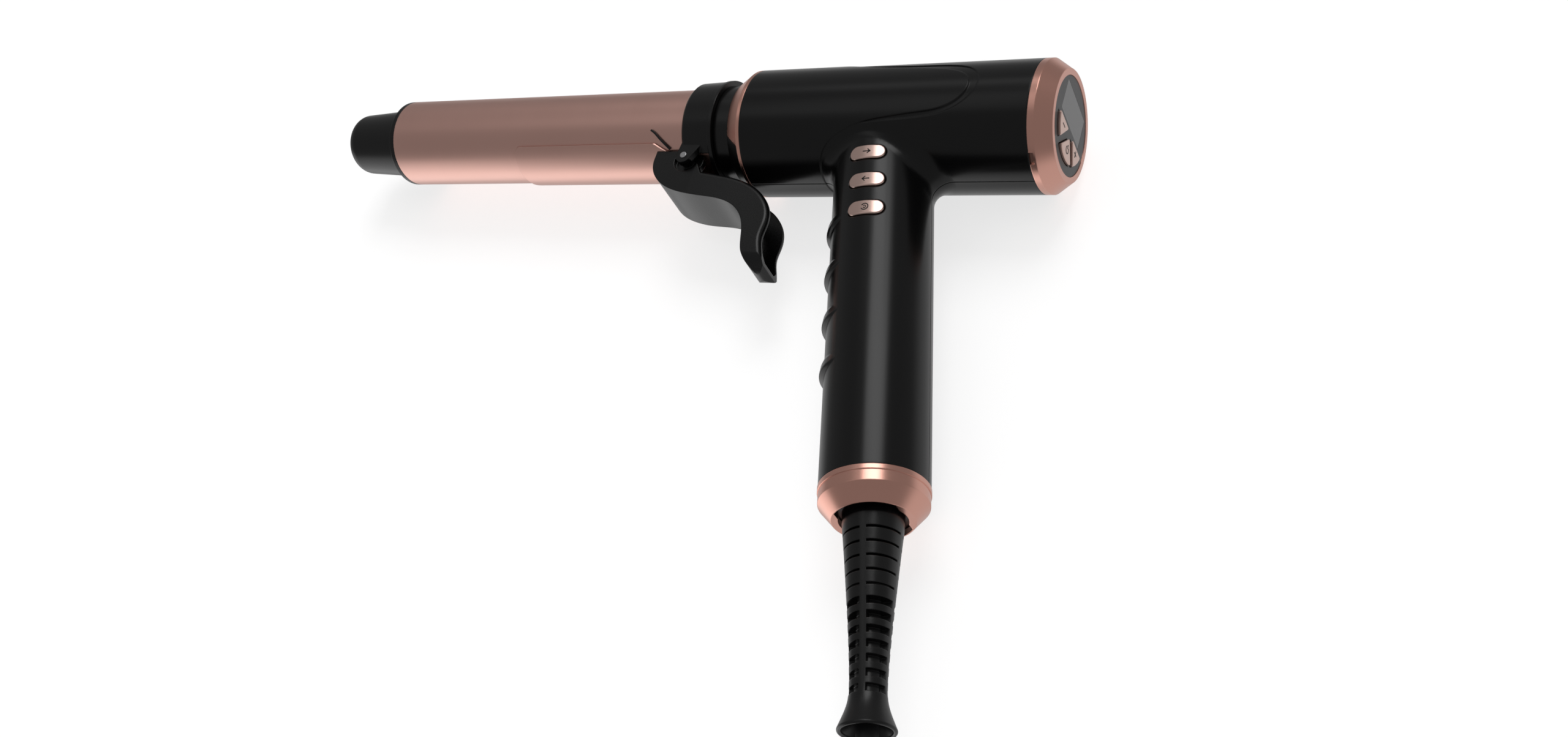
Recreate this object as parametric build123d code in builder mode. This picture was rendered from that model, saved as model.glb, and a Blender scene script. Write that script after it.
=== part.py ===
from build123d import *
import math
import os

# Automatic rotating curling iron, lying on its side with the buttons up.
# Millimetres, +Z up.  The barrel runs along X (tip towards -X, display towards +X) and the
# handle leans back from -Y.  Stations "x" are measured along the barrel axis and "l" along
# the handle axis, both from the junction where the two axes cross.

# ---------------------------------------------------------------- driving dimensions
BARREL_R = 16.0
BARREL_WALL = 1.2
BARREL_TIP_X = -198.9
TIP_FLANGE_T = 2.1
TIP_CAP_BASE_R = 12.9
TIP_CAP_END_R = 11.2
TIP_CAP_L = 27.0
HOUSING_R = 21.7
REAR_STEP = 0.25
HOUSING_WALL = 2.2
HOUSING_FRONT_X = -44.0
HOUSING_REAR_X = 56.4
HANDLE_RAKE = 13.8
HANDLE_R = 16.3
HANDLE_WALL = 2.1
HANDLE_END_L = 135.8
BLEND_R = 6.0
COLLAR_FRONT_X = -68.7
COLLAR_REAR_X = -56.7
COLLAR_FRONT_R = 18.1
COLLAR_REAR_R = 18.7
HUB_R = 16.9
BEZEL_FRONT_L = 6.3
BEZEL_REAR_L = 7.1
PANEL_R = 15.9
PANEL_T = 1.9
PANEL_SINK = 0.2
PANEL_BUTTON_R = 12.6
PANEL_BUTTON_PROUD = 0.8
BUTTON_L = (22.4, 33.6, 44.8)
BUTTON_SIZE = (12.0, 5.3)
BUTTON_TURN = -8.3
BUTTON_PROUD = 0.6
FINGER_PITCH = 17.6
FINGER_FIRST_L = 44.8
FINGER_H = 1.7
END_RING_L = 9.9
BOOT_TOP_R = 9.0
BOOT_END_L = 207.5
BELL_R = 8.1
CORD_R = 3.1
PIN_X = -66.3
PIN_Y = -18.0
PIN_R = 1.0
PIN_HEAD_R = 1.25
LEVER_HALF_W = 9.3
LEVER_WALL = 2.0
EAR_T = 2.4
EAR_R = 2.9
CLAMP_TIP_X = -142.0
CLAMP_REAR_X = -70.0
CLAMP_T = 0.6
CLAMP_HALF_ANGLE = 43.0
GEAR_MODULE = 0.8
GEAR_TEETH = 24
PINION_TEETH = 8

# named clearances
FIT = 0.05
GAP = 0.3
LEVER_GAP = 0.3
BUTTON_GAP = 0.25

# ---------------------------------------------------------------- derived frame
RAKE = math.radians(HANDLE_RAKE)
BARREL_DIR = Vector(1, 0, 0)
HANDLE_DIR = Vector(math.sin(RAKE), -math.cos(RAKE), 0)
HANDLE_SIDE = Vector(math.cos(RAKE), math.sin(RAKE), 0)
UP = Vector(0, 0, 1)
REAR_R = HOUSING_R - REAR_STEP
CAVITY_R = HOUSING_R - HOUSING_WALL
HANDLE_CAVITY_R = HANDLE_R - HANDLE_WALL
TUBE_BORE_R = BARREL_R - BARREL_WALL
FACE_X = HOUSING_REAR_X + BEZEL_REAR_L
TIP_FRONT_X = BARREL_TIP_X - TIP_FLANGE_T - TIP_CAP_L
X_MAX = FACE_X + PANEL_BUTTON_PROUD
Y_MIN = -(BOOT_END_L * math.cos(RAKE) + BELL_R * math.sin(RAKE))
# The origin lies on the table under the middle of the appliance.
JUNCTION = Vector(-(X_MAX + TIP_FRONT_X) / 2, -(HOUSING_R + Y_MIN) / 2, HOUSING_R)

MID = Plane(origin=JUNCTION, x_dir=BARREL_DIR, z_dir=UP)
HANDLE_MID = Plane(origin=JUNCTION, x_dir=HANDLE_DIR, z_dir=UP)
BARREL_AXIS = Axis(JUNCTION, BARREL_DIR)
HANDLE_AXIS = Axis(JUNCTION, HANDLE_DIR)


def across_barrel(x):
    """Plane square to the barrel axis at station x; its own x is +Y and its y is +Z."""
    return Plane(origin=JUNCTION + BARREL_DIR * x, x_dir=(0, 1, 0), z_dir=BARREL_DIR)


def across_handle(l):
    """Plane square to the handle axis at station l; its own y is +Z."""
    return Plane(origin=JUNCTION + HANDLE_DIR * l, x_dir=HANDLE_SIDE, z_dir=HANDLE_DIR)


def over_handle(l, z):
    """Plane facing up at height z over the handle axis at station l."""
    origin = JUNCTION + HANDLE_DIR * l + UP * z
    return Plane(origin=origin, x_dir=HANDLE_SIDE, z_dir=UP)


def save(builder, name):
    builder.part.label = name
    export_step(builder.part, f"parts/{name}.step")


os.makedirs("parts", exist_ok=True)

# ================================================================ housing shells
# The front of the housing stands a little proud of the rear; the step runs back along each
# side as a rounded tongue.
TONGUE_TIP_X = 35.8
TONGUE_EDGE = [(-26, 22.5), (-15, 16.9), (-4.6, 13.0), (12, 10.2), (27.7, 7.8), (33.4, 5.0), (TONGUE_TIP_X, 0.6),
               (34.4, -3.7), (30, -6.9), (18.6, -8.9), (9, -9.9), (0, -11.3), (-7, -13.8), (-12.5, -17),
               (-16, -22.5)]
BAND_DEPTH = 0.5
BAND_EDGE = [(-12, 15.6), (-4.6, 14.2), (4.6, 12.9), (14.5, 12.0), (27, 11.1), (34.3, 8.5), (38.2, 3.6),
             (38.2, -1.3), (34.5, -6.0), (28.9, -8.7), (20.6, -10.0), (12, -10.5), (5, -10.8), (0, -11.3)]

with BuildPart() as sleeve:
    with BuildSketch(MID):
        with BuildLine():
            Spline(*TONGUE_EDGE)
            Polyline(TONGUE_EDGE[-1], (HOUSING_FRONT_X, -22.5), (HOUSING_FRONT_X, 22.5), TONGUE_EDGE[0])
        make_face()
    extrude(amount=HOUSING_R + 1, both=True)
    with BuildSketch(across_barrel(HOUSING_FRONT_X)):
        Circle(HOUSING_R)
    extrude(amount=TONGUE_TIP_X - HOUSING_FRONT_X + 2, mode=Mode.INTERSECT)

# A shallow groove follows the tongue's edge, widest round its tip.
with BuildPart() as band:
    with BuildSketch(MID):
        with BuildLine():
            Spline(*BAND_EDGE)
            Polyline(BAND_EDGE[-1], (-12, 0), BAND_EDGE[0])
        make_face()
    extrude(amount=HOUSING_R + 1, both=True)
    with BuildSketch(across_barrel(HOUSING_FRONT_X)):
        Circle(HOUSING_R - BAND_DEPTH)
    extrude(amount=HOUSING_REAR_X - HOUSING_FRONT_X, mode=Mode.SUBTRACT)

# Four saw-tooth finger ridges on the front of the handle, turned about a line that is set
# forward of the handle axis so that they die out towards the sides.
FINGER_SHIFT = 3.0
FINGER_RISE_L = 7.0
FINGER_DROP_L = 1.8
FINGER_ROOT_R = HANDLE_R - FINGER_SHIFT - 0.3
ridge = []
for i in range(4):
    peak_l = FINGER_FIRST_L + i * FINGER_PITCH
    ridge.append((peak_l - FINGER_RISE_L, FINGER_ROOT_R))
    ridge.append((peak_l - 0.4 * FINGER_RISE_L, FINGER_ROOT_R + 0.3 + 0.75 * FINGER_H))
    ridge.append((peak_l, FINGER_ROOT_R + 0.3 + FINGER_H))
    ridge.append((peak_l + FINGER_DROP_L, FINGER_ROOT_R))
FINGER_START_L = FINGER_FIRST_L - 12

with BuildPart() as fingers:
    with BuildSketch(HANDLE_MID.shift_origin(JUNCTION - HANDLE_SIDE * FINGER_SHIFT)):
        Polygon((FINGER_START_L, 0), (FINGER_START_L, FINGER_ROOT_R), *ridge, (ridge[-1][0], 0), align=None)
    revolve(axis=Axis(JUNCTION - HANDLE_SIDE * FINGER_SHIFT, HANDLE_DIR))
    ridge_edges = edges().filter_by(GeomType.CIRCLE).group_by(SortBy.RADIUS)[-1]
    fillet(ridge_edges, radius=1.0)

# Screw bosses as (plane station, side) pairs: three over the barrel axis, two down the handle.
SCREW_R = 1.05
BOSS_R = 3.0
SCREW_SPOTS = [JUNCTION + Vector(12, 12.2, 0), JUNCTION + Vector(43, 12.5, 0), JUNCTION + Vector(40, -12.5, 0),
               JUNCTION + HANDLE_DIR * 57.5, JUNCTION + HANDLE_DIR * 126]
SCREW_SEAT_Z = -6.0
SCREW_TIP_Z = 8.0

with BuildPart() as boss_room:
    with BuildSketch(across_barrel(HOUSING_FRONT_X)):
        Circle(CAVITY_R + 0.5)
    extrude(amount=HOUSING_REAR_X - HOUSING_FRONT_X)
    with BuildSketch(across_handle(0)):
        Circle(HANDLE_CAVITY_R + 0.5)
    extrude(amount=HANDLE_END_L)

with BuildPart() as bosses:
    for spot in SCREW_SPOTS:
        with BuildSketch(Plane(spot)):
            Circle(BOSS_R)
        extrude(amount=HOUSING_R, both=True)
    add(boss_room.part, mode=Mode.INTERSECT)

with BuildPart() as body:
    with BuildSketch(across_barrel(HOUSING_FRONT_X)):
        Circle(REAR_R)
    extrude(amount=HOUSING_REAR_X - HOUSING_FRONT_X)
    with BuildSketch(across_handle(0)):
        Circle(HANDLE_R)
    extrude(amount=HANDLE_END_L)
    junction_edges = edges().filter_by(GeomType.BSPLINE)
    fillet(junction_edges, radius=BLEND_R)
    add(band.part, mode=Mode.SUBTRACT)
    add(sleeve.part)
    add(fingers.part)
    with BuildSketch(across_barrel(HOUSING_FRONT_X)):
        Circle(CAVITY_R)
    extrude(amount=HOUSING_REAR_X - HOUSING_FRONT_X, mode=Mode.SUBTRACT)
    with BuildSketch(across_handle(0)):
        Circle(HANDLE_CAVITY_R)
    extrude(amount=HANDLE_END_L, mode=Mode.SUBTRACT)
    add(bosses.part)

with BuildPart() as left_shell:
    add(body.part)
    split(bisect_by=MID, keep=Keep.TOP)
    for spot in SCREW_SPOTS:
        with BuildSketch(Plane(spot)):
            Circle(SCREW_R - 0.05)
        extrude(amount=SCREW_TIP_Z + 1.5, mode=Mode.SUBTRACT)
    for station in BUTTON_L:
        with BuildSketch(over_handle(station, 5)):
            SlotOverall(BUTTON_SIZE[0] + 2 * BUTTON_GAP, BUTTON_SIZE[1] + 2 * BUTTON_GAP, rotation=BUTTON_TURN)
        extrude(amount=HOUSING_R, mode=Mode.SUBTRACT)
save(left_shell, "left_shell")

with BuildPart() as right_shell:
    add(body.part)
    split(bisect_by=MID, keep=Keep.BOTTOM)
    for spot in SCREW_SPOTS:
        with BuildSketch(Plane(spot)):
            Circle(SCREW_R + 0.15)
        extrude(amount=SCREW_SEAT_Z - 1, mode=Mode.SUBTRACT)
        with BuildSketch(Plane(spot + UP * SCREW_SEAT_Z)):
            Circle(2.4)
        extrude(amount=-HOUSING_R, mode=Mode.SUBTRACT)
save(right_shell, "right_shell")

with BuildPart() as shell_screws:
    for spot in SCREW_SPOTS:
        with BuildSketch(Plane(spot + UP * SCREW_SEAT_Z)):
            Circle(2.2)
        extrude(amount=-1.8)
        with BuildSketch(Plane(spot + UP * SCREW_SEAT_Z)):
            Circle(SCREW_R - 0.1)
        extrude(amount=SCREW_TIP_Z - SCREW_SEAT_Z)
        with BuildSketch(Plane(spot + UP * (SCREW_SEAT_Z - 1.8))):
            Rectangle(2.6, 0.5)
            Rectangle(0.5, 2.6)
        extrude(amount=1.0, mode=Mode.SUBTRACT)
save(shell_screws, "shell_screws")

# ================================================================ trim rings
SPIGOT_R = CAVITY_R - FIT
SPIGOT_L = 3.0
BEZEL_MOUTH_R = 18.4
STOP_Z = 14.0
STOP_ROOM = [(HOUSING_FRONT_X - BEZEL_FRONT_L - 1, -8), (HOUSING_FRONT_X - 1.2, -8),
             (HOUSING_FRONT_X - 1.2, -HOUSING_R - 1), (HOUSING_FRONT_X - BEZEL_FRONT_L - 1, -HOUSING_R - 1)]

with BuildPart() as front_bezel:
    with BuildSketch(MID):
        lip_x = HOUSING_FRONT_X - 1.2
        Polygon((HOUSING_FRONT_X - BEZEL_FRONT_L, HUB_R + 0.8), (HOUSING_FRONT_X - BEZEL_FRONT_L, BEZEL_MOUTH_R),
                (lip_x, HOUSING_R), (HOUSING_FRONT_X, HOUSING_R), (HOUSING_FRONT_X, SPIGOT_R),
                (HOUSING_FRONT_X + SPIGOT_L, SPIGOT_R), (HOUSING_FRONT_X + SPIGOT_L, HUB_R + 0.8), align=None)
    revolve(axis=BARREL_AXIS)
    with BuildSketch(MID):
        Polygon(*STOP_ROOM, align=None)
    extrude(amount=STOP_Z, both=True, mode=Mode.SUBTRACT)
save(front_bezel, "front_bezel")

with BuildPart() as lever_stop:
    with BuildSketch(MID):
        lip_x = HOUSING_FRONT_X - 1.2
        Polygon((HOUSING_FRONT_X - BEZEL_FRONT_L, HUB_R + 0.8), (HOUSING_FRONT_X - BEZEL_FRONT_L, BEZEL_MOUTH_R),
                (lip_x - FIT, HOUSING_R - 0.1), (lip_x - FIT, HUB_R + 0.8), align=None)
    revolve(axis=BARREL_AXIS)
    with BuildSketch(MID):
        Polygon(*STOP_ROOM, align=None)
    extrude(amount=STOP_Z - FIT, both=True, mode=Mode.INTERSECT)
save(lever_stop, "lever_stop")

REAR_LIP_X = HOUSING_REAR_X + 2.2
FACE_RING_R = 18.0
PANEL_SEAT_X = FACE_X - PANEL_SINK - PANEL_T
BOARD_R = 17.3
BOARD_X = HOUSING_REAR_X - SPIGOT_L + 0.6
BOARD_T = 1.6

with BuildPart() as rear_bezel:
    with BuildSketch(MID):
        Polygon((HOUSING_REAR_X - SPIGOT_L, BOARD_R + 0.2), (HOUSING_REAR_X - SPIGOT_L, SPIGOT_R),
                (HOUSING_REAR_X, SPIGOT_R), (HOUSING_REAR_X, REAR_R), (REAR_LIP_X, REAR_R),
                (FACE_X, FACE_RING_R), (FACE_X, PANEL_R + FIT), (PANEL_SEAT_X, PANEL_R + FIT),
                (PANEL_SEAT_X, PANEL_R - 1.6), (BOARD_X + BOARD_T, PANEL_R - 1.6),
                (BOARD_X + BOARD_T, BOARD_R + 0.2), align=None)
    revolve(axis=BARREL_AXIS)
    # a small parting notch in the lip, on the handle side
    notch_turn = math.radians(66)
    notch_at = JUNCTION + BARREL_DIR * HOUSING_REAR_X
    notch_at += Vector(0, -math.sin(notch_turn), math.cos(notch_turn)) * REAR_R
    with Locations(Plane(notch_at, x_dir=(1, 0, 0), z_dir=(0, -math.sin(notch_turn), math.cos(notch_turn)))):
        Box(2.8, 4.2, 1.6, mode=Mode.SUBTRACT)
save(rear_bezel, "rear_bezel")

RING_LIP_L = 1.6
RING_MOUTH_R = 12.2
RING_WALL = 2.0
RING_END_L = HANDLE_END_L + END_RING_L
BOOT_HOLE_R = BOOT_TOP_R + 1.1
BOOT_SLOT_R = RING_MOUTH_R - 0.35

with BuildPart() as handle_end_ring:
    with BuildSketch(HANDLE_MID):
        Polygon((HANDLE_END_L - 5, HANDLE_CAVITY_R - 2), (HANDLE_END_L - 5, HANDLE_CAVITY_R - FIT),
                (HANDLE_END_L, HANDLE_CAVITY_R - FIT), (HANDLE_END_L, HANDLE_R + 0.15),
                (HANDLE_END_L + RING_LIP_L, HANDLE_R + 0.15), (HANDLE_END_L + RING_LIP_L, HANDLE_R - 0.1),
                (HANDLE_END_L + 5, HANDLE_R - 0.1), (RING_END_L, RING_MOUTH_R), (RING_END_L, 0),
                (RING_END_L - RING_WALL, 0), (RING_END_L - RING_WALL, HANDLE_CAVITY_R - 2), align=None)
    revolve(axis=HANDLE_AXIS)
    with BuildSketch(across_handle(RING_END_L)):
        Circle(BOOT_SLOT_R)
        Rectangle(2 * BOOT_TOP_R + 0.3, 2 * HANDLE_R, mode=Mode.INTERSECT)
        Circle(BOOT_HOLE_R)
    extrude(amount=-END_RING_L, mode=Mode.SUBTRACT)
save(handle_end_ring, "handle_end_ring")

# ================================================================ display end
BUTTON_EDGE_Y = -3.3
MINUS = [(BUTTON_EDGE_Y, 2.5), (BUTTON_EDGE_Y, 20), (-14, 20), (-16.7, 13.1)]
PLUS = [(y, -z) for y, z in MINUS]
POWER = [(-5.1, 0), (-18.5, 12.1), (-18.5, -12.1)]
PANEL_BUTTONS = {"button_minus": MINUS, "button_power": POWER, "button_plus": PLUS}
SCREEN_Z_W = 21.0
SCREEN_Y_W = 11.4
SCREEN_Y = 4.9
WINDOW_T = 0.8
PANEL_X = PANEL_SEAT_X + PANEL_T

with BuildPart() as display_panel:
    with BuildSketch(across_barrel(PANEL_SEAT_X)):
        Circle(PANEL_R)
    extrude(amount=PANEL_T)
    with BuildSketch(across_barrel(PANEL_X - WINDOW_T)):
        with Locations((SCREEN_Y, 0)):
            Rectangle(SCREEN_Y_W + 0.1, SCREEN_Z_W + 0.1)
    extrude(amount=WINDOW_T, mode=Mode.SUBTRACT)
    with BuildSketch(across_barrel(PANEL_SEAT_X)):
        with Locations((SCREEN_Y, 0)):
            Rectangle(SCREEN_Y_W - 2, SCREEN_Z_W - 2)
    extrude(amount=PANEL_T, mode=Mode.SUBTRACT)
    for outline in PANEL_BUTTONS.values():
        with BuildSketch(across_barrel(PANEL_SEAT_X)) as hole:
            Circle(PANEL_BUTTON_R + BUTTON_GAP)
            Polygon(*outline, align=None, mode=Mode.INTERSECT)
            offset(amount=BUTTON_GAP)
            Circle(PANEL_BUTTON_R + BUTTON_GAP, mode=Mode.INTERSECT)
        extrude(amount=PANEL_T, mode=Mode.SUBTRACT)
save(display_panel, "display_panel")

with BuildPart() as display_window:
    with BuildSketch(across_barrel(PANEL_X - WINDOW_T)):
        with Locations((SCREEN_Y, 0)):
            Rectangle(SCREEN_Y_W, SCREEN_Z_W)
    extrude(amount=WINDOW_T)
save(display_window, "display_window")

SWITCH_X = BOARD_X + BOARD_T + 2.0
PANEL_BUTTON_BACK_X = SWITCH_X + 0.7
SWITCH_SPOTS = [(-7.4, 7.0), (-9.4, 0), (-7.4, -7.0)]
for name, outline in PANEL_BUTTONS.items():
    with BuildPart() as button:
        with BuildSketch(across_barrel(PANEL_BUTTON_BACK_X + 1.5)):
            Circle(PANEL_BUTTON_R)
            Polygon(*outline, align=None, mode=Mode.INTERSECT)
            fillet(vertices(), radius=0.5)
        extrude(amount=FACE_X + PANEL_BUTTON_PROUD - PANEL_BUTTON_BACK_X - 1.5)
        fillet(faces().sort_by(Axis.X)[-1].edges(), radius=0.3)
        spot = SWITCH_SPOTS[list(PANEL_BUTTONS).index(name)]
        with BuildSketch(across_barrel(PANEL_BUTTON_BACK_X)):
            with Locations(spot):
                Circle(1.2)
        extrude(amount=2.0)
    save(button, name)

with BuildPart() as display_board:
    with BuildSketch(across_barrel(BOARD_X)):
        Circle(BOARD_R)
    extrude(amount=BOARD_T)
    with BuildSketch(across_barrel(BOARD_X + BOARD_T)):
        with Locations(*SWITCH_SPOTS):
            Rectangle(3.5, 4.0)
    extrude(amount=SWITCH_X - BOARD_X - BOARD_T)
save(display_board, "display_board")

with BuildPart() as lcd_module:
    with BuildSketch(across_barrel(BOARD_X + BOARD_T)):
        with Locations((SCREEN_Y, 0)):
            Rectangle(SCREEN_Y_W - 1.6, SCREEN_Z_W - 1.6)
    extrude(amount=PANEL_SEAT_X - BOARD_X - BOARD_T - GAP)
save(lcd_module, "lcd_module")

# ================================================================ handle buttons and boards
SWITCH_TOP_Z = 10.2
KEY_BOTTOM_Z = SWITCH_TOP_Z + 0.8
KEY_FLANGE_T = 0.9
names = ("button_turn_a", "button_turn_b", "button_mode")
for station, name in zip(BUTTON_L, names):
    with BuildPart() as key:
        with BuildSketch(over_handle(station, KEY_BOTTOM_Z)):
            SlotOverall(*BUTTON_SIZE, rotation=BUTTON_TURN)
        extrude(amount=HANDLE_R)
        with BuildSketch(across_handle(station - 10)):
            Circle(HANDLE_R + BUTTON_PROUD)
        extrude(amount=20, mode=Mode.INTERSECT)
        fillet(faces().sort_by(Axis.Z)[-1].edges(), radius=0.45)
        with BuildSketch(over_handle(station, KEY_BOTTOM_Z)):
            SlotOverall(BUTTON_SIZE[0] + 0.8, BUTTON_SIZE[1] + 1.6, rotation=BUTTON_TURN)
        extrude(amount=KEY_FLANGE_T)
    save(key, name)

KEY_BOARD_Z = 6.2
with BuildPart() as key_board:
    middle = (BUTTON_L[0] + BUTTON_L[-1]) / 2
    with BuildSketch(over_handle(middle, KEY_BOARD_Z)):
        Rectangle(13, BUTTON_L[-1] - BUTTON_L[0] + 8)
    extrude(amount=1.2)
    for station in BUTTON_L:
        with BuildSketch(over_handle(station, KEY_BOARD_Z + 1.2)):
            Rectangle(6, 6)
        extrude(amount=2.0)
        with BuildSketch(over_handle(station, KEY_BOARD_Z + 3.2)):
            Circle(1.6)
        extrude(amount=SWITCH_TOP_Z - KEY_BOARD_Z - 3.2)
save(key_board, "key_board")

MAIN_BOARD_L = 62.0
MAIN_BOARD_SPAN = 59.0
MAIN_BOARD_Z = -4.0
with BuildPart() as main_board:
    with BuildSketch(over_handle(MAIN_BOARD_L + MAIN_BOARD_SPAN / 2, MAIN_BOARD_Z)):
        Rectangle(23, MAIN_BOARD_SPAN)
    extrude(amount=1.6)
save(main_board, "main_board")

with BuildPart() as power_supply:
    top_z = MAIN_BOARD_Z + 1.6
    with BuildSketch(over_handle(MAIN_BOARD_L + 16, top_z)):
        Rectangle(16, 18)
    extrude(amount=12)
    fillet(edges().filter_by(Axis.Z), radius=1.0)
save(power_supply, "power_supply")

with BuildPart() as capacitor:
    with BuildSketch(over_handle(MAIN_BOARD_L + 40, top_z)):
        Circle(5)
    extrude(amount=11)
    fillet(faces().sort_by(Axis.Z)[-1].edges(), radius=0.8)
save(capacitor, "capacitor")

# ================================================================ drive
HUB_FRONT_X = COLLAR_REAR_X + 0.1
HUB_SPIGOT_X = -64.0
HUB_BACK_X = -35.0
SHAFT_R = 5.5
SHAFT_END_X = -12.0
BUSH_T = 4.0
BUSH_X = HUB_BACK_X - BUSH_T - 1
GEAR_X = -33.5
GEAR_T = 5.0
BULKHEAD_X = -27.5
BULKHEAD_T = 3.0
GEAR_R = GEAR_MODULE * GEAR_TEETH / 2
PINION_PITCH_R = GEAR_MODULE * PINION_TEETH / 2
MOTOR_Y = GEAR_R + PINION_PITCH_R
SHAFT_BORE_R = 3.0

with BuildPart() as drive_hub:
    with BuildSketch(MID):
        Polygon((HUB_SPIGOT_X, TUBE_BORE_R - 2), (HUB_SPIGOT_X, TUBE_BORE_R - FIT),
                (HUB_FRONT_X, TUBE_BORE_R - FIT), (HUB_FRONT_X, HUB_R), (HUB_BACK_X, HUB_R),
                (HUB_BACK_X, SHAFT_R), (SHAFT_END_X, SHAFT_R), (SHAFT_END_X, SHAFT_BORE_R),
                (HUB_BACK_X - 2.5, SHAFT_BORE_R), (HUB_BACK_X - 2.5, TUBE_BORE_R - 2), align=None)
    revolve(axis=BARREL_AXIS)
save(drive_hub, "drive_hub")

with BuildPart() as front_bush:
    with BuildSketch(across_barrel(BUSH_X)):
        Circle(CAVITY_R - FIT)
        Circle(HUB_R + FIT, mode=Mode.SUBTRACT)
    extrude(amount=BUSH_T)
save(front_bush, "front_bush")


def tooth_outline(root_r, tip_r, pitch_r):
    """Half-round-flanked tooth pointing along +X of its sketch."""
    half = 0.42 * math.pi * pitch_r / (pitch_r / GEAR_MODULE * 2)
    return [(root_r - 0.3, half * 1.5), (pitch_r, half), (tip_r, half * 0.45),
            (tip_r, -half * 0.45), (pitch_r, -half), (root_r - 0.3, -half * 1.5)]


with BuildPart() as drive_gear:
    with BuildSketch(across_barrel(GEAR_X)):
        Circle(GEAR_R - GEAR_MODULE)
        with PolarLocations(0, GEAR_TEETH):
            Polygon(*tooth_outline(GEAR_R - GEAR_MODULE, GEAR_R + 0.55, GEAR_R), align=None)
        Circle(SHAFT_R + 0.01, mode=Mode.SUBTRACT)
    extrude(amount=GEAR_T)
save(drive_gear, "drive_gear")

with BuildPart() as pinion:
    with BuildSketch(across_barrel(GEAR_X)):
        with Locations((MOTOR_Y, 0)):
            Circle(PINION_PITCH_R - GEAR_MODULE)
            with PolarLocations(0, PINION_TEETH, start_angle=180 / PINION_TEETH):
                Polygon(*tooth_outline(PINION_PITCH_R - GEAR_MODULE, PINION_PITCH_R + 0.55, PINION_PITCH_R),
                        align=None)
    extrude(amount=GEAR_T)
    with BuildSketch(across_barrel(GEAR_X)):
        with Locations((MOTOR_Y, 0)):
            Circle(1.0)
    extrude(amount=GEAR_T + 8)
save(pinion, "pinion")

with BuildPart() as bulkhead:
    with BuildSketch(across_barrel(BULKHEAD_X)):
        Circle(CAVITY_R - FIT)
        Circle(8, mode=Mode.SUBTRACT)
        with Locations((MOTOR_Y, 0)):
            Circle(2.0, mode=Mode.SUBTRACT)
    extrude(amount=BULKHEAD_T)
save(bulkhead, "bulkhead")

with BuildPart() as rear_bush:
    with BuildSketch(across_barrel(BULKHEAD_X)):
        Circle(8)
        Circle(SHAFT_R + FIT, mode=Mode.SUBTRACT)
    extrude(amount=BULKHEAD_T)
save(rear_bush, "rear_bush")

MOTOR_X = BULKHEAD_X + BULKHEAD_T
with BuildPart() as gear_motor:
    with BuildSketch(across_barrel(MOTOR_X)):
        with Locations((MOTOR_Y, 0)):
            Rectangle(9.4, 12)
    extrude(amount=9)
    with BuildSketch(across_barrel(MOTOR_X + 9)):
        with Locations((MOTOR_Y, 0)):
            Circle(6)
            Rectangle(9.4, 12, mode=Mode.INTERSECT)
    extrude(amount=15)
    with BuildSketch(across_barrel(MOTOR_X)):
        with Locations((MOTOR_Y, 0)):
            Circle(1.1)
    extrude(amount=6.5, mode=Mode.SUBTRACT)
save(gear_motor, "gear_motor")

SLIP_R = 7.0
SLIP_X = (-23.0, -18.5)
SLIP_T = 3.0
with BuildPart() as slip_rings:
    for x in SLIP_X:
        with BuildSketch(across_barrel(x)):
            Circle(SLIP_R)
            Circle(SHAFT_R + 0.01, mode=Mode.SUBTRACT)
        extrude(amount=SLIP_T)
save(slip_rings, "slip_rings")

with BuildPart() as brush_block:
    with BuildSketch(across_barrel(MOTOR_X)):
        with Locations((-12.5, 0)):
            Rectangle(7, 12)
    extrude(amount=11)
save(brush_block, "brush_block")

with BuildPart() as brushes:
    for x in SLIP_X:
        with BuildSketch(across_barrel(x + 0.5)):
            with Locations(((-9.0 - SLIP_R - 0.1) / 2, 0)):
                Rectangle(9.0 - SLIP_R - 0.1, 3)
        extrude(amount=SLIP_T - 1)
save(brushes, "brushes")

# ================================================================ barrel
TUBE_BACK_X = HUB_FRONT_X - 0.2
with BuildPart() as barrel_tube:
    with BuildSketch(across_barrel(BARREL_TIP_X)):
        Circle(BARREL_R)
        Circle(TUBE_BORE_R, mode=Mode.SUBTRACT)
    extrude(amount=TUBE_BACK_X - BARREL_TIP_X)
save(barrel_tube, "barrel_tube")

HEATER_W = 24.0
HEATER_T = 5.0
HEATER_X0 = BARREL_TIP_X + 8
HEATER_X1 = HUB_SPIGOT_X - 8
with BuildPart() as heat_spreader:
    with BuildSketch(across_barrel(HEATER_X0)):
        Circle(TUBE_BORE_R - FIT)
        Rectangle(HEATER_T + 0.2, 2 * BARREL_R, mode=Mode.SUBTRACT)
        with Locations((8.4, 0), (-8.4, 0)):
            Circle(4, mode=Mode.SUBTRACT)
    extrude(amount=HEATER_X1 - HEATER_X0)
save(heat_spreader, "heat_spreader")

with BuildPart() as heater:
    with BuildSketch(across_barrel(HEATER_X0 + 3)):
        Rectangle(HEATER_T, HEATER_W)
    extrude(amount=HEATER_X1 - HEATER_X0 - 6)
save(heater, "heater")

with BuildPart() as temperature_sensor:
    with BuildSketch(across_barrel(HEATER_X1 - 30)):
        with Locations((8.4, 0)):
            Circle(1.6)
    extrude(amount=34)
save(temperature_sensor, "temperature_sensor")

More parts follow.
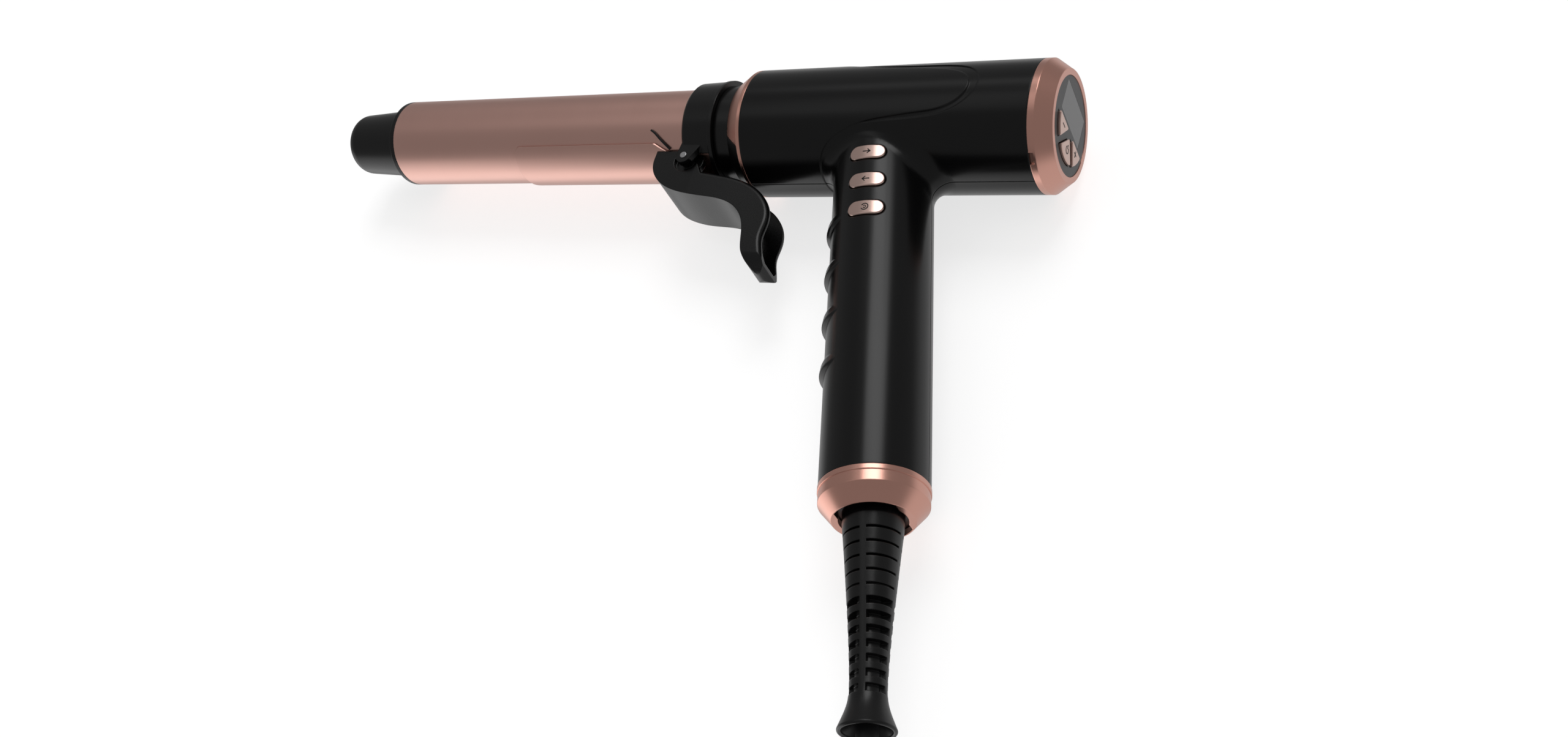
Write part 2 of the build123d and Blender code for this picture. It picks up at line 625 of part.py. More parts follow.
with BuildPart() as tip_flange:
    with BuildSketch(MID):
        front = BARREL_TIP_X - TIP_FLANGE_T
        Polygon((front, 6), (front, BARREL_R), (BARREL_TIP_X, BARREL_R), (BARREL_TIP_X, TUBE_BORE_R - FIT),
                (BARREL_TIP_X + 6, TUBE_BORE_R - FIT), (BARREL_TIP_X + 6, 6), align=None)
    revolve(axis=BARREL_AXIS)
    fillet(edges().filter_by(GeomType.CIRCLE).group_by(Axis.X)[0].sort_by(SortBy.RADIUS)[-1:], radius=0.4)
save(tip_flange, "tip_flange")

with BuildPart() as tip_cap:
    with BuildSketch(MID):
        Polygon((front, 0), (front, TIP_CAP_BASE_R), (TIP_FRONT_X, TIP_CAP_END_R), (TIP_FRONT_X, 0), align=None)
    revolve(axis=BARREL_AXIS)
    fillet(edges().filter_by(GeomType.CIRCLE).sort_by(Axis.X)[:1], radius=5.5)
    with BuildSketch(MID):
        Polygon((front, 0), (front, TIP_CAP_BASE_R - 2), (TIP_FRONT_X + 8, TIP_CAP_END_R - 2),
                (TIP_FRONT_X + 8, 0), align=None)
    revolve(axis=BARREL_AXIS, mode=Mode.SUBTRACT)
save(tip_cap, "tip_cap")

# The collar is open below for the lever, between two flat ears that hold the pivot pin.
EAR_Z = LEVER_HALF_W + LEVER_GAP
with BuildPart() as collar:
    with BuildSketch(MID):
        flange_x = COLLAR_REAR_X - 1.4
        Polygon((COLLAR_FRONT_X, BARREL_R + FIT), (COLLAR_FRONT_X, COLLAR_FRONT_R - 0.5),
                (COLLAR_FRONT_X + 0.7, COLLAR_FRONT_R), (flange_x, COLLAR_REAR_R - 0.3),
                (flange_x, COLLAR_REAR_R), (COLLAR_REAR_X, COLLAR_REAR_R), (COLLAR_REAR_X, BARREL_R + FIT),
                align=None)
    revolve(axis=BARREL_AXIS)
    with BuildSketch(MID):
        Polygon((COLLAR_FRONT_X - 1, -8), (flange_x, -8), (flange_x, -25), (COLLAR_FRONT_X - 1, -25), align=None)
    extrude(amount=EAR_Z, both=True, mode=Mode.SUBTRACT)
    for side in (1, -1):
        with BuildSketch(MID.offset(side * EAR_Z)):
            with Locations((PIN_X, PIN_Y)):
                Circle(EAR_R)
            with Locations(((COLLAR_FRONT_X - 60.4) / 2, -12)):
                Rectangle(-60.4 - COLLAR_FRONT_X, 1)
            make_hull()
        extrude(amount=side * EAR_T)
    with BuildSketch(across_barrel(COLLAR_FRONT_X - 1)):
        Circle(BARREL_R + FIT)
    extrude(amount=COLLAR_REAR_X - COLLAR_FRONT_X + 2, mode=Mode.SUBTRACT)
    with BuildSketch(MID):
        with Locations((PIN_X, PIN_Y)):
            Circle(PIN_R + 0.01)
    extrude(amount=EAR_Z + EAR_T + 1, both=True, mode=Mode.SUBTRACT)
save(collar, "collar")

with BuildPart() as pivot_pin:
    with BuildSketch(MID):
        with Locations((PIN_X, PIN_Y)):
            Circle(PIN_R)
    extrude(amount=EAR_Z + EAR_T, both=True)
    for side in (1, -1):
        with BuildSketch(MID.offset(side * (EAR_Z + EAR_T))):
            with Locations((PIN_X, PIN_Y)):
                Circle(PIN_HEAD_R)
        extrude(amount=side * 0.4)
    fillet(faces().sort_by(Axis.Z)[-1].edges() + faces().sort_by(Axis.Z)[0].edges(), radius=0.25)
save(pivot_pin, "pivot_pin")

# ================================================================ clamp
CLAMP_GAP = 0.2
CLAMP_IN_R = BARREL_R + CLAMP_GAP
CLAMP_OUT_R = CLAMP_IN_R + CLAMP_T
RIVET_R = 1.2
RIVET_L = 4.2
RIVET_PLANES = [Plane(JUNCTION + Vector(x, -CLAMP_IN_R - 0.1, 0), x_dir=(1, 0, 0), z_dir=(0, -1, 0))
                for x in (-77.0, -73.2)]
FLOOR = [(-79.6, -17), (-77.8, -23.4), (-72.5, -28.4), (-65, -31.4), (-57, -32.8), (-49, -33.9),
         (-42.8, -36.4), (-38.6, -40.6), (-36.4, -45.5), (-35.1, -50.8), (-33.4, -55.4), (-30.6, -58.6)]
RIM = [(-25.6, -58.0), (-26.9, -53.4), (-28.4, -48.2), (-28.2, -43.2), (-28.9, -38.2), (-32.0, -32.9),
       (-37.4, -28.2), (-44.7, -25.1), (-52.6, -23.5), (-60.0, -22.2)]
HOLLOW = [(-71.6, -14), (-71.4, -24.5), (-65, -28.9), (-57, -30.5), (-49, -31.4), (-41.8, -34.2),
          (-36.8, -39.2), (-34.5, -45.2), (-33.1, -50.4), (-31.5, -54.2), (-28.8, -56.6), (-25.0, -56.2), (-20, -52)]
PAD_HALF_W = 8.0
SPOON_R = 7.6
SPOON_END_Y = -59.6
SPOON_START_Y = -46.0
KNUCKLE_R = 5.6
RECESS_R = 4.8
RECESS_DEPTH = 1.7
FROM_BELOW = Plane(JUNCTION, x_dir=(1, 0, 0), z_dir=(0, -1, 0))
FROM_FRONT = Plane(JUNCTION, x_dir=(0, 1, 0), z_dir=(1, 0, 0))


def side_lines(inset):
    """The lever's two sides from below, as one closed outline narrowing towards the pad."""
    wide = LEVER_HALF_W - inset
    narrow = PAD_HALF_W - inset
    return [(-90, wide), (-62, wide), (-48, (wide + narrow) / 2), (-36, narrow), (-15, narrow)]


# The lever's outer shape, and the hollow inside it, are each cut to their outline from the
# side, from below, and round the spoon-shaped end.
lever_shapes = {}
for part_name, inset in (("outer", 0), ("hollow", LEVER_WALL)):
    with BuildPart() as shape:
        with BuildSketch(MID):
            if inset:
                with BuildLine():
                    Spline(*HOLLOW)
                    Polyline(HOLLOW[-1], (-20, -10), (-71.6, -10), HOLLOW[0])
                make_face()
            else:
                with BuildLine():
                    Spline(*FLOOR)
                    ThreePointArc(FLOOR[-1], (-27.9, -59.5), RIM[0])
                    Spline(*RIM)
                    Polyline(RIM[-1], (-64.5, -15.0), (-69.6, -12.5), (-79.6, -12.5), FLOOR[0])
                make_face()
        extrude(amount=LEVER_HALF_W, both=True)
        with BuildSketch(FROM_BELOW):
            with BuildLine():
                half = side_lines(inset)
                Spline(*half)
                Polyline(half[-1], (half[-1][0], -half[-1][1]))
                Spline(*[(x, -z) for x, z in reversed(half)])
                Polyline((half[0][0], -half[0][1]), half[0])
            make_face()
        extrude(amount=80, mode=Mode.INTERSECT)
        with BuildSketch(FROM_FRONT.offset(-100)):
            with Locations((0, 0)):
                Polygon((SPOON_START_Y, 12), (0, 12), (0, -12), (SPOON_START_Y, -12), align=None)
            with Locations(((SPOON_END_Y + inset - 20) / 2, 0)):
                RectangleRounded(-20 - SPOON_END_Y - inset, 2 * (PAD_HALF_W - inset) + 0.4, SPOON_R - inset * 0.8)
        extrude(amount=100, mode=Mode.INTERSECT)
        if not inset:
            belly = edges().filter_by(lambda e: e.center().Y < JUNCTION.Y - 26 and abs(e.center().Z - JUNCTION.Z) > 4)
            belly = belly.sort_by(SortBy.LENGTH)[-2:]
            fillet(belly, radius=1.6)
    lever_shapes[part_name] = shape.part

PRESSED = math.radians(11.3)
PRESSED_BARREL = Plane(JUNCTION + Vector(PIN_X - PIN_Y * math.sin(PRESSED), PIN_Y - PIN_Y * math.cos(PRESSED), 0),
                       x_dir=(0, 0, 1), z_dir=(math.cos(PRESSED), -math.sin(PRESSED), 0))
with BuildPart() as clamp_lever:
    add(lever_shapes["outer"])
    add(lever_shapes["hollow"], mode=Mode.SUBTRACT)
    # a round recess for each ear of the collar, backed by a thicker knuckle with a low boss
    for side in (1, -1):
        knuckle_z = LEVER_HALF_W - RECESS_DEPTH
        with BuildSketch(MID.offset(side * (knuckle_z - LEVER_WALL))):
            with Locations((PIN_X, PIN_Y)):
                Circle(KNUCKLE_R)
        extrude(amount=side * LEVER_WALL)
        with BuildSketch(MID.offset(side * knuckle_z)):
            with Locations((PIN_X, PIN_Y)):
                Circle(RECESS_R)
        extrude(amount=side * 3, mode=Mode.SUBTRACT)
        with BuildSketch(MID.offset(side * knuckle_z)):
            with Locations((PIN_X, PIN_Y)):
                Circle(2.2)
        extrude(amount=side * RECESS_DEPTH)
    with BuildSketch(across_barrel(-90)):
        Circle(CLAMP_OUT_R)
    extrude(amount=CLAMP_REAR_X + 0.1 + 90, mode=Mode.SUBTRACT)
    with BuildSketch(across_barrel(-71)):
        Circle(BARREL_R + 0.45)
    extrude(amount=20, mode=Mode.SUBTRACT)
    # room for the barrel once the lever is pressed right in
    with BuildSketch(PRESSED_BARREL):
        Circle(BARREL_R + 0.3)
    extrude(amount=18, mode=Mode.SUBTRACT)
    with BuildSketch(MID):
        with Locations((PIN_X, PIN_Y)):
            Circle(PIN_R + FIT)
    extrude(amount=LEVER_HALF_W + 1, both=True, mode=Mode.SUBTRACT)
    for rivet_plane in RIVET_PLANES:
        with BuildSketch(rivet_plane):
            Circle(RIVET_R)
        extrude(amount=RIVET_L, mode=Mode.SUBTRACT)
save(clamp_lever, "clamp_lever")

with BuildPart() as clamp_plate:
    with BuildSketch(across_barrel(CLAMP_TIP_X)):
        Circle(CLAMP_OUT_R)
        Circle(CLAMP_IN_R, mode=Mode.SUBTRACT)
        spread = 40 * math.tan(math.radians(CLAMP_HALF_ANGLE))
        Polygon((0, 0), (-40, spread), (-40, -spread), align=None, mode=Mode.INTERSECT)
    extrude(amount=CLAMP_REAR_X - CLAMP_TIP_X)
    with BuildSketch(FROM_BELOW):
        half_w = CLAMP_OUT_R * math.sin(math.radians(CLAMP_HALF_ANGLE)) + 0.3
        tail_w = LEVER_HALF_W - 0.8
        Polygon((CLAMP_TIP_X, half_w), (-82, half_w), (-75, tail_w), (CLAMP_REAR_X, tail_w),
                (CLAMP_REAR_X, -tail_w), (-75, -tail_w), (-82, -half_w), (CLAMP_TIP_X, -half_w), align=None)
        fillet(vertices().group_by(Axis.X)[0], radius=4.5)
    extrude(amount=BARREL_R + 5, mode=Mode.INTERSECT)
    for rivet_plane in RIVET_PLANES:
        with BuildSketch(rivet_plane):
            Circle(RIVET_R)
        extrude(amount=RIVET_L, mode=Mode.SUBTRACT)
save(clamp_plate, "clamp_plate")

with BuildPart() as clamp_rivets:
    for rivet_plane in RIVET_PLANES:
        with BuildSketch(rivet_plane):
            Circle(RIVET_R)
        extrude(amount=RIVET_L)
save(clamp_rivets, "clamp_rivets")

SPRING_R = 1.35
WIRE_R = 0.22
LEG_WIRE_R = 0.4
LEG = [(-74.6, 35.5), (-76.6, 42.5), (-78.6, 49.5), (-80.3, 55.5), (-81.8, 59.0)]
with BuildPart() as clamp_spring:
    with BuildLine(Plane(JUNCTION + Vector(PIN_X, PIN_Y, -3.0))) as coil_path:
        Helix(pitch=0.75, height=6.0, radius=SPRING_R)
    with BuildSketch(Plane(coil_path.line @ 0, z_dir=coil_path.line % 0)):
        Circle(WIRE_R)
    sweep()
    # the spring's free leg, lying against the barrel
    leg_r = BARREL_R + LEG_WIRE_R + 0.02
    leg_points = []
    for x, turn in LEG:
        angle = math.radians(turn)
        leg_points.append(JUNCTION + Vector(x, -leg_r * math.cos(angle), leg_r * math.sin(angle)))
    with BuildLine() as leg_path:
        Spline(*leg_points)
    with BuildSketch(Plane(leg_path.line @ 0, z_dir=leg_path.line % 0)):
        Circle(LEG_WIRE_R)
    sweep(path=leg_path.line)
save(clamp_spring, "clamp_spring")

# ================================================================ cord swivel and boot
FLANGE_L = RING_END_L - RING_WALL - 2.8
FLANGE_R = RING_MOUTH_R - 0.25
BOOT_FLOOR_L = 197.0
RIB_W = 1.9
SLIT_L = [151.1 + 4.15 * i for i in range(5)]
SLOT_L = [172.3 + 4.05 * i for i in range(7)]

with BuildPart() as strain_relief:
    with BuildSketch(HANDLE_MID):
        with BuildLine():
            Polyline((BOOT_FLOOR_L, 0), (FLANGE_L, 0), (FLANGE_L, FLANGE_R), (FLANGE_L + 2.4, FLANGE_R),
                     (FLANGE_L + 2.4, BOOT_TOP_R), (RING_END_L + 1, BOOT_TOP_R))
            Spline((RING_END_L + 1, BOOT_TOP_R), (156.6, 8.0), (167.8, 7.0), (180, 6.0), (193, 5.25),
                   (199.5, 5.55), (204.5, 7.2), (BOOT_END_L - 0.8, BELL_R))
            ThreePointArc((BOOT_END_L - 0.8, BELL_R), (BOOT_END_L, BELL_R - 0.6), (BOOT_END_L - 0.7, BELL_R - 1.2))
            Spline((BOOT_END_L - 0.7, BELL_R - 1.2), (203.5, 5.4), (199, 3.9), (BOOT_FLOOR_L, CORD_R + 0.3))
            Line((BOOT_FLOOR_L, CORD_R + 0.3), (BOOT_FLOOR_L, 0))
        make_face()
    revolve(axis=HANDLE_AXIS)
    for stations, width, depth_r in ((SLIT_L, 0.7, 6.2), (SLOT_L, 2.2, 3.9)):
        for station in stations:
            with BuildSketch(across_handle(station - width / 2)):
                Circle(12)
                Circle(depth_r, mode=Mode.SUBTRACT)
                Rectangle(26, RIB_W, mode=Mode.SUBTRACT)
                Rectangle(RIB_W, 26, mode=Mode.SUBTRACT)
            extrude(amount=width, mode=Mode.SUBTRACT)
save(strain_relief, "strain_relief")

with BuildPart() as swivel_contact:
    with BuildSketch(across_handle(FLANGE_L - 6)):
        Circle(6)
        Circle(4.5, mode=Mode.SUBTRACT)
    extrude(amount=6)
save(swivel_contact, "swivel_contact")

with BuildPart() as swivel_base:
    with BuildSketch(across_handle(HANDLE_END_L - 5)):
        Circle(HANDLE_CAVITY_R - 2 - FIT)
        Circle(6.3, mode=Mode.SUBTRACT)
    extrude(amount=FLANGE_L - HANDLE_END_L + 5 - GAP)
save(swivel_base, "swivel_base")

# ================================================================ cord, coil and plug
# Points of the cord's route, chosen by hand, from the bell of the boot down to the table.
TABLE_Z = CORD_R + 0.1
EXIT = JUNCTION + HANDLE_DIR * BOOT_FLOOR_L
COIL_AT = Vector(122.0, -278.0, 0)
COIL_MEAN_R = 37.0
BUNDLE_R = 9.4
BUNDLE_Z = 8.95
BUNDLE_H = 17.0
COIL_LANE_R = COIL_MEAN_R + 2 * CORD_R
LEAD_TURN = EXIT + HANDLE_DIR * 25
LEAD = [(EXIT.X, EXIT.Y, EXIT.Z), (LEAD_TURN.X, LEAD_TURN.Y, LEAD_TURN.Z), (142.6, -154.0, 17.2), (150.6, -184.5, 8.6),
        (159.2, -210.0, 3.9), (COIL_AT.X + COIL_LANE_R, -236.0, TABLE_Z),
        (COIL_AT.X + COIL_LANE_R, -253.0, TABLE_Z)]
PLUG_Z = 7.05
TAIL_Y = COIL_AT.Y - COIL_LANE_R
TAIL = [(100.0, TAIL_Y, TABLE_Z), (86.0, TAIL_Y, TABLE_Z), (72.0, TAIL_Y, PLUG_Z), (58.0, TAIL_Y, PLUG_Z)]


def rounded_route(points):
    """Straight runs joined by the largest tangent arcs that their runs allow."""
    places = [Vector(*p) for p in points]
    radii = []
    for a, b, c in zip(places, places[1:], places[2:]):
        turn = (b - a).get_angle(c - b)
        shorter = min((b - a).length, (c - b).length)
        radii.append(0.45 * shorter / math.tan(math.radians(turn) / 2))
    print("cord radii", [round(r) for r in radii])
    return FilletPolyline(*places, radius=radii)


for name, points in (("cord", LEAD), ("plug_lead", TAIL)):
    with BuildPart() as tube:
        with BuildLine() as route:
            rounded_route(points)
        with BuildSketch(Plane(route.line @ 0, z_dir=route.line % 0)):
            Circle(CORD_R)
        sweep()
    run_length = sum(edge.length for edge in route.line.edges())
    print(name, "volume over section x length", round(tube.part.volume / (math.pi * CORD_R ** 2 * run_length), 4))
    save(tube, name)

with BuildPart() as cord_coil:
    with BuildSketch(Plane(COIL_AT, x_dir=(1, 0, 0), z_dir=(0, -1, 0))):
        with Locations((COIL_MEAN_R, BUNDLE_Z)):
            Circle(BUNDLE_R)
            Rectangle(2 * BUNDLE_R, BUNDLE_H, mode=Mode.INTERSECT)
    revolve(axis=Axis(COIL_AT, UP))
    with BuildSketch(Plane((COIL_AT.X + COIL_LANE_R, COIL_AT.Y, TABLE_Z), z_dir=(0, 1, 0))):
        Circle(CORD_R)
    extrude(amount=LEAD[-1][1] - COIL_AT.Y)
    with BuildSketch(Plane((COIL_AT.X, COIL_AT.Y - COIL_LANE_R, TABLE_Z), z_dir=(-1, 0, 0))):
        Circle(CORD_R)
    extrude(amount=COIL_AT.X - TAIL[0][0])
save(cord_coil, "cord_coil")

TIE_T = 0.4
with BuildPart() as coil_tie:
    with BuildSketch(Plane(COIL_AT, x_dir=(-1, 0, 0), z_dir=(0, 1, 0))):
        with Locations((COIL_MEAN_R, BUNDLE_Z)):
            Circle(BUNDLE_R + TIE_T)
            Rectangle(2 * BUNDLE_R + 2 * TIE_T, BUNDLE_H + 2 * TIE_T, mode=Mode.INTERSECT)
    revolve(axis=Axis(COIL_AT, UP), revolution_arc=10)
    add(cord_coil.part, mode=Mode.SUBTRACT)
save(coil_tie, "coil_tie")

PLUG_C = Vector(*TAIL[-1])
PLUG_PIN_PITCH = 19.0
PLUG_PIN_R = 2.0
with BuildPart() as plug_body:
    with BuildSketch(Plane(PLUG_C, x_dir=(0, 1, 0), z_dir=(-1, 0, 0))):
        Circle(CORD_R + 1.0)
    with BuildSketch(Plane(PLUG_C - Vector(14, 0, 0), x_dir=(0, 1, 0), z_dir=(-1, 0, 0))):
        SlotOverall(15, 9.5)
    with BuildSketch(Plane(PLUG_C - Vector(28, 0, 0), x_dir=(0, 1, 0), z_dir=(-1, 0, 0))):
        SlotOverall(33, 13.4)
    with BuildSketch(Plane(PLUG_C - Vector(36, 0, 0), x_dir=(0, 1, 0), z_dir=(-1, 0, 0))):
        SlotOverall(35, 13.6)
    loft()
save(plug_body, "plug_body")

with BuildPart() as plug_pins:
    with BuildSketch(Plane(PLUG_C - Vector(36, 0, 0), x_dir=(0, 1, 0), z_dir=(-1, 0, 0))):
        with Locations((PLUG_PIN_PITCH / 2, 0), (-PLUG_PIN_PITCH / 2, 0)):
            Circle(PLUG_PIN_R)
    extrude(amount=19)
    fillet(faces().sort_by(Axis.X)[0:2].edges(), radius=0.8)
save(plug_pins, "plug_pins")
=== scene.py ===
import bpy
import bmesh
import math
from mathutils import Matrix, Vector


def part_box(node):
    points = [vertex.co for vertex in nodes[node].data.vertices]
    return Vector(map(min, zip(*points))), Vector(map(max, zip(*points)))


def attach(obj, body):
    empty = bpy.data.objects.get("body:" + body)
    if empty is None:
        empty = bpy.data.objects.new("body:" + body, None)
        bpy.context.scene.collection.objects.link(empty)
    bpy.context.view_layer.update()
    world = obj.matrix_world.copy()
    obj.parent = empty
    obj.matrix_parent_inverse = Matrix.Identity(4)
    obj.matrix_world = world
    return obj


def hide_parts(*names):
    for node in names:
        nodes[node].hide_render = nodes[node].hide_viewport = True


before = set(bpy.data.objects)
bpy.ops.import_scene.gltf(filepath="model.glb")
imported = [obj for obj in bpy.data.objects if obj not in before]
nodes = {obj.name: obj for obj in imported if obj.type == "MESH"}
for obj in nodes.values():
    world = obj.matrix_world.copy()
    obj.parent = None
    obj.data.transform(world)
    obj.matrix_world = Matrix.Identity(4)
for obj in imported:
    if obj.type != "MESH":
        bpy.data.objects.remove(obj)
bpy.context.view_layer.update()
scene = bpy.context.scene

# ================================================================ camera
# It looks down at the iron as it lies on the table, from the display end of the thumb lever's
# side.  The axes of the barrel and the handle cross at JUNCTION; the handle is raked by RAKE.
JUNCTION = Vector((0.08185, 0.090871, 0.0217))
RAKE = math.radians(13.8)
DOWN_HANDLE = Vector((math.sin(RAKE), -math.cos(RAKE), 0))
ACROSS_HANDLE = Vector((math.cos(RAKE), math.sin(RAKE), 0))
lens = bpy.data.cameras.new("camera")
lens.lens = 36.0
lens.sensor_width = 36.0
lens.sensor_fit = "HORIZONTAL"
camera = bpy.data.objects.new("camera", lens)
scene.collection.objects.link(camera)
view_right = Vector((0.8838, 0.2774, -0.3768)).normalized()
view_up = Vector((-0.0463, 0.8532, 0.5195))
view_up = (view_up - view_right * view_up.dot(view_right)).normalized()
turn = Matrix((view_right, view_up, view_right.cross(view_up))).transposed()
camera.matrix_world = Matrix.Translation(JUNCTION + Vector((0.2165, -0.3070, 0.3715))) @ turn.to_4x4()
scene.camera = camera
scene.view_settings.view_transform = "Standard"

# ================================================================ mains cord
# A round lead in black rubber, fixed inside the boot.  It comes straight out of the bell, sinks
# to the table, is wound in a neat coil held by a nylon tie, and ends in a moulded plug.


class Wire:
    """One socket of a node tree; sums written with it add Math nodes to that tree."""

    def __init__(self, tree, socket=None):
        self.tree = tree
        self.socket = socket

    def node(self, kind, settings=None, sockets=None, out=0):
        """Adds a node of any kind and gives back the chosen output."""
        made = self.tree.nodes.new(kind)
        for key, value in (settings or {}).items():
            setattr(made, key, value)
        for key, value in (sockets or {}).items():
            if isinstance(value, Wire):
                self.tree.links.new(value.socket, made.inputs[key])
            else:
                made.inputs[key].default_value = value
        return Wire(self.tree, made.outputs[out])

    def maths(self, operation, first, second=0.0):
        return self.node("ShaderNodeMath", {"operation": operation}, {0: first, 1: second})

    def __add__(self, other):
        return self.maths("ADD", self, other)

    def __radd__(self, other):
        return self.maths("ADD", other, self)

    def __sub__(self, other):
        return self.maths("SUBTRACT", self, other)

    def __rsub__(self, other):
        return self.maths("SUBTRACT", other, self)

    def __mul__(self, other):
        return self.maths("MULTIPLY", self, other)

    def __rmul__(self, other):
        return self.maths("MULTIPLY", other, self)

    def __truediv__(self, other):
        return self.maths("DIVIDE", self, other)

    def __abs__(self):
        return self.maths("ABSOLUTE", self)

    def below(self, limit, soft):
        """1 below the limit, 0 above it, smooth between."""
        return 1.0 - self.step(limit - soft, limit + soft)

    def step(self, low, high):
        """0 below low, 1 above high, smooth between."""
        sockets = {"Value": self, "From Min": low, "From Max": high}
        return self.node("ShaderNodeMapRange", {"interpolation_type": "SMOOTHSTEP"}, sockets)

    def mix(self, colour_a, colour_b):
        """Colour a where this value is 0, colour b where it is 1."""
        sockets = {0: self, 6: colour_a, 7: colour_b}
        return self.node("ShaderNodeMix", {"data_type": "RGBA"}, sockets, out=2)


def new_finish(name, roughness, metallic=0.0, specular=0.5, coat=0.0):
    """A material with its constants set on the shader; gives it, its shader and its tree."""
    finish = bpy.data.materials.new(name)
    finish.use_nodes = True
    shader = finish.node_tree.nodes["Principled BSDF"]
    shader.inputs["Roughness"].default_value = roughness
    shader.inputs["Metallic"].default_value = metallic
    shader.inputs["Specular IOR Level"].default_value = specular
    shader.inputs["Coat Weight"].default_value = coat
    return finish, shader, Wire(finish.node_tree)


def feed(shader, socket, wire):
    wire.tree.links.new(wire.socket, shader.inputs[socket])


def moulded(name, colour, roughness, metallic=0.0, grain=1400.0, depth=0.00002, spread=0.25, edge=0.0003):
    """A finish with fine surface grain, a slow drift of colour and gloss, and softened edges."""
    finish, shader, tree = new_finish(name, roughness, metallic)
    place = tree.node("ShaderNodeTexCoord", out=3)
    slow = tree.node("ShaderNodeTexNoise", {}, {"Vector": place, "Scale": 45.0, "Detail": 3.0})
    fine = tree.node("ShaderNodeTexNoise", {}, {"Vector": place, "Scale": grain, "Detail": 2.0})
    dark = [c * (1 - spread) for c in colour] + [1]
    light = [min(c * (1 + spread), 1) for c in colour] + [1]
    feed(shader, "Base Color", slow.mix(dark, light))
    feed(shader, "Roughness", roughness * 0.85 + slow * (roughness * 0.2) + fine * (roughness * 0.1))
    rounded = tree.node("ShaderNodeBevel", {"samples": 6}, {"Radius": edge})
    bump = {"Height": fine, "Distance": depth, "Strength": 0.5, "Normal": rounded}
    feed(shader, "Normal", tree.node("ShaderNodeBump", {}, bump))
    return finish


def dress(finish, *names):
    """Gives CAD nodes their finish."""
    for name in names:
        nodes[name].data.materials.clear()
        nodes[name].data.materials.append(finish)


CORD_R = 0.0031
TABLE_Z = 0.0032
COIL_AT = Vector((0.122, -0.278, 0))
COIL_MEAN_R = 0.037
LANE_X = COIL_AT.x + COIL_MEAN_R + 2 * CORD_R
TAIL_Y = COIL_AT.y - COIL_MEAN_R - 2 * CORD_R
BOOT_FLOOR = 0.197
STRAIGHT_RUN = 0.025
cord_exit = JUNCTION + DOWN_HANDLE * BOOT_FLOOR
lead_turn = cord_exit + DOWN_HANDLE * STRAIGHT_RUN
PLUG_Z = 0.00705
LEAD = [cord_exit, lead_turn, (0.1426, -0.1540, 0.0172), (0.1506, -0.1845, 0.0086),
        (0.1592, -0.2100, 0.0039), (LANE_X, -0.2360, TABLE_Z), (LANE_X, -0.2530, TABLE_Z)]
TAIL = [(0.100, TAIL_Y, TABLE_Z), (0.086, TAIL_Y, TABLE_Z), (0.072, TAIL_Y, PLUG_Z),
        (0.058, TAIL_Y, PLUG_Z)]

# The seven lanes of the bundle, as (offset from the mean radius, height), in winding order; each
# turn moves to its next lane a little earlier than the turn below it did.
LANES = [(0.0031, 0.0036), (-0.0031, 0.0036), (-0.0062, 0.0090), (0.0, 0.0090), (-0.0031, 0.0144),
         (0.0031, 0.0144), (0.0062, 0.0090)]
LANE_CHANGE = [330, 285, 240, 195, 150, 105]
CHANGE_HALF = 20
TURNS = 6.25
POINTS_PER_TURN = 18
SETTLING_POINTS = 3
# A curve drawn inside its control points is a little smaller than they are.
SPREAD = 1.008
coil = []
for step in range(1, int(TURNS * POINTS_PER_TURN)):
    swept = step * 360 / POINTS_PER_TURN
    lap, within = divmod(swept, 360)
    lap = int(lap)
    here = LANES[lap]
    if lap < len(LANE_CHANGE):
        share = min(max((within - LANE_CHANGE[lap] + CHANGE_HALF) / (2 * CHANGE_HALF), 0), 1)
        ahead = LANES[lap + 1]
        here = [a + (b - a) * share for a, b in zip(here, ahead)]
    if step < SETTLING_POINTS:
        settle = step / SETTLING_POINTS
        outer = LANES[-1][0]
        here = (outer + (here[0] - outer) * settle, TABLE_Z + (here[1] - TABLE_Z) * settle)
    reach = (COIL_MEAN_R + here[0]) * SPREAD
    angle = -math.radians(swept)
    coil.append((COIL_AT.x + reach * math.cos(angle), COIL_AT.y + reach * math.sin(angle), here[1]))
off_coil = (0.116, TAIL_Y, 0.0080)
route = LEAD + coil + [off_coil] + TAIL

cord_line = bpy.data.curves.new("mains_cord", "CURVE")
cord_line.dimensions = "3D"
spline = cord_line.splines.new("NURBS")
spline.points.add(len(route) - 1)
for point, place in zip(spline.points, route):
    point.co = (*place, 1)
spline.order_u = 3
spline.use_endpoint_u = True
spline.resolution_u = 6
cord_line.bevel_depth = CORD_R
cord_line.bevel_resolution = 6
cord_line.use_fill_caps = True
mains_cord = bpy.data.objects.new("mains_cord", cord_line)
scene.collection.objects.link(mains_cord)
sheath = moulded("cord_sheath", (0.012, 0.012, 0.013), 0.42, grain=2600.0, depth=0.00003)
cord_line.materials.append(sheath)
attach(mains_cord, "handle")
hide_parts("cord", "cord_coil", "plug_lead")
dress(sheath, "cord", "cord_coil", "plug_lead", "plug_body")
dress(moulded("plug_pin_brass", (0.62, 0.50, 0.30), 0.25, metallic=1.0), "plug_pins")
dress(moulded("tie_nylon", (0.02, 0.02, 0.022), 0.35), "coil_tie")

# ================================================================ housing shells
# Two halves injection-moulded in glossy black plastic and held by five screws.  They meet in
# the plane through both axes, where a fine dark line shows all round.
SEAM_HALF = 0.00016


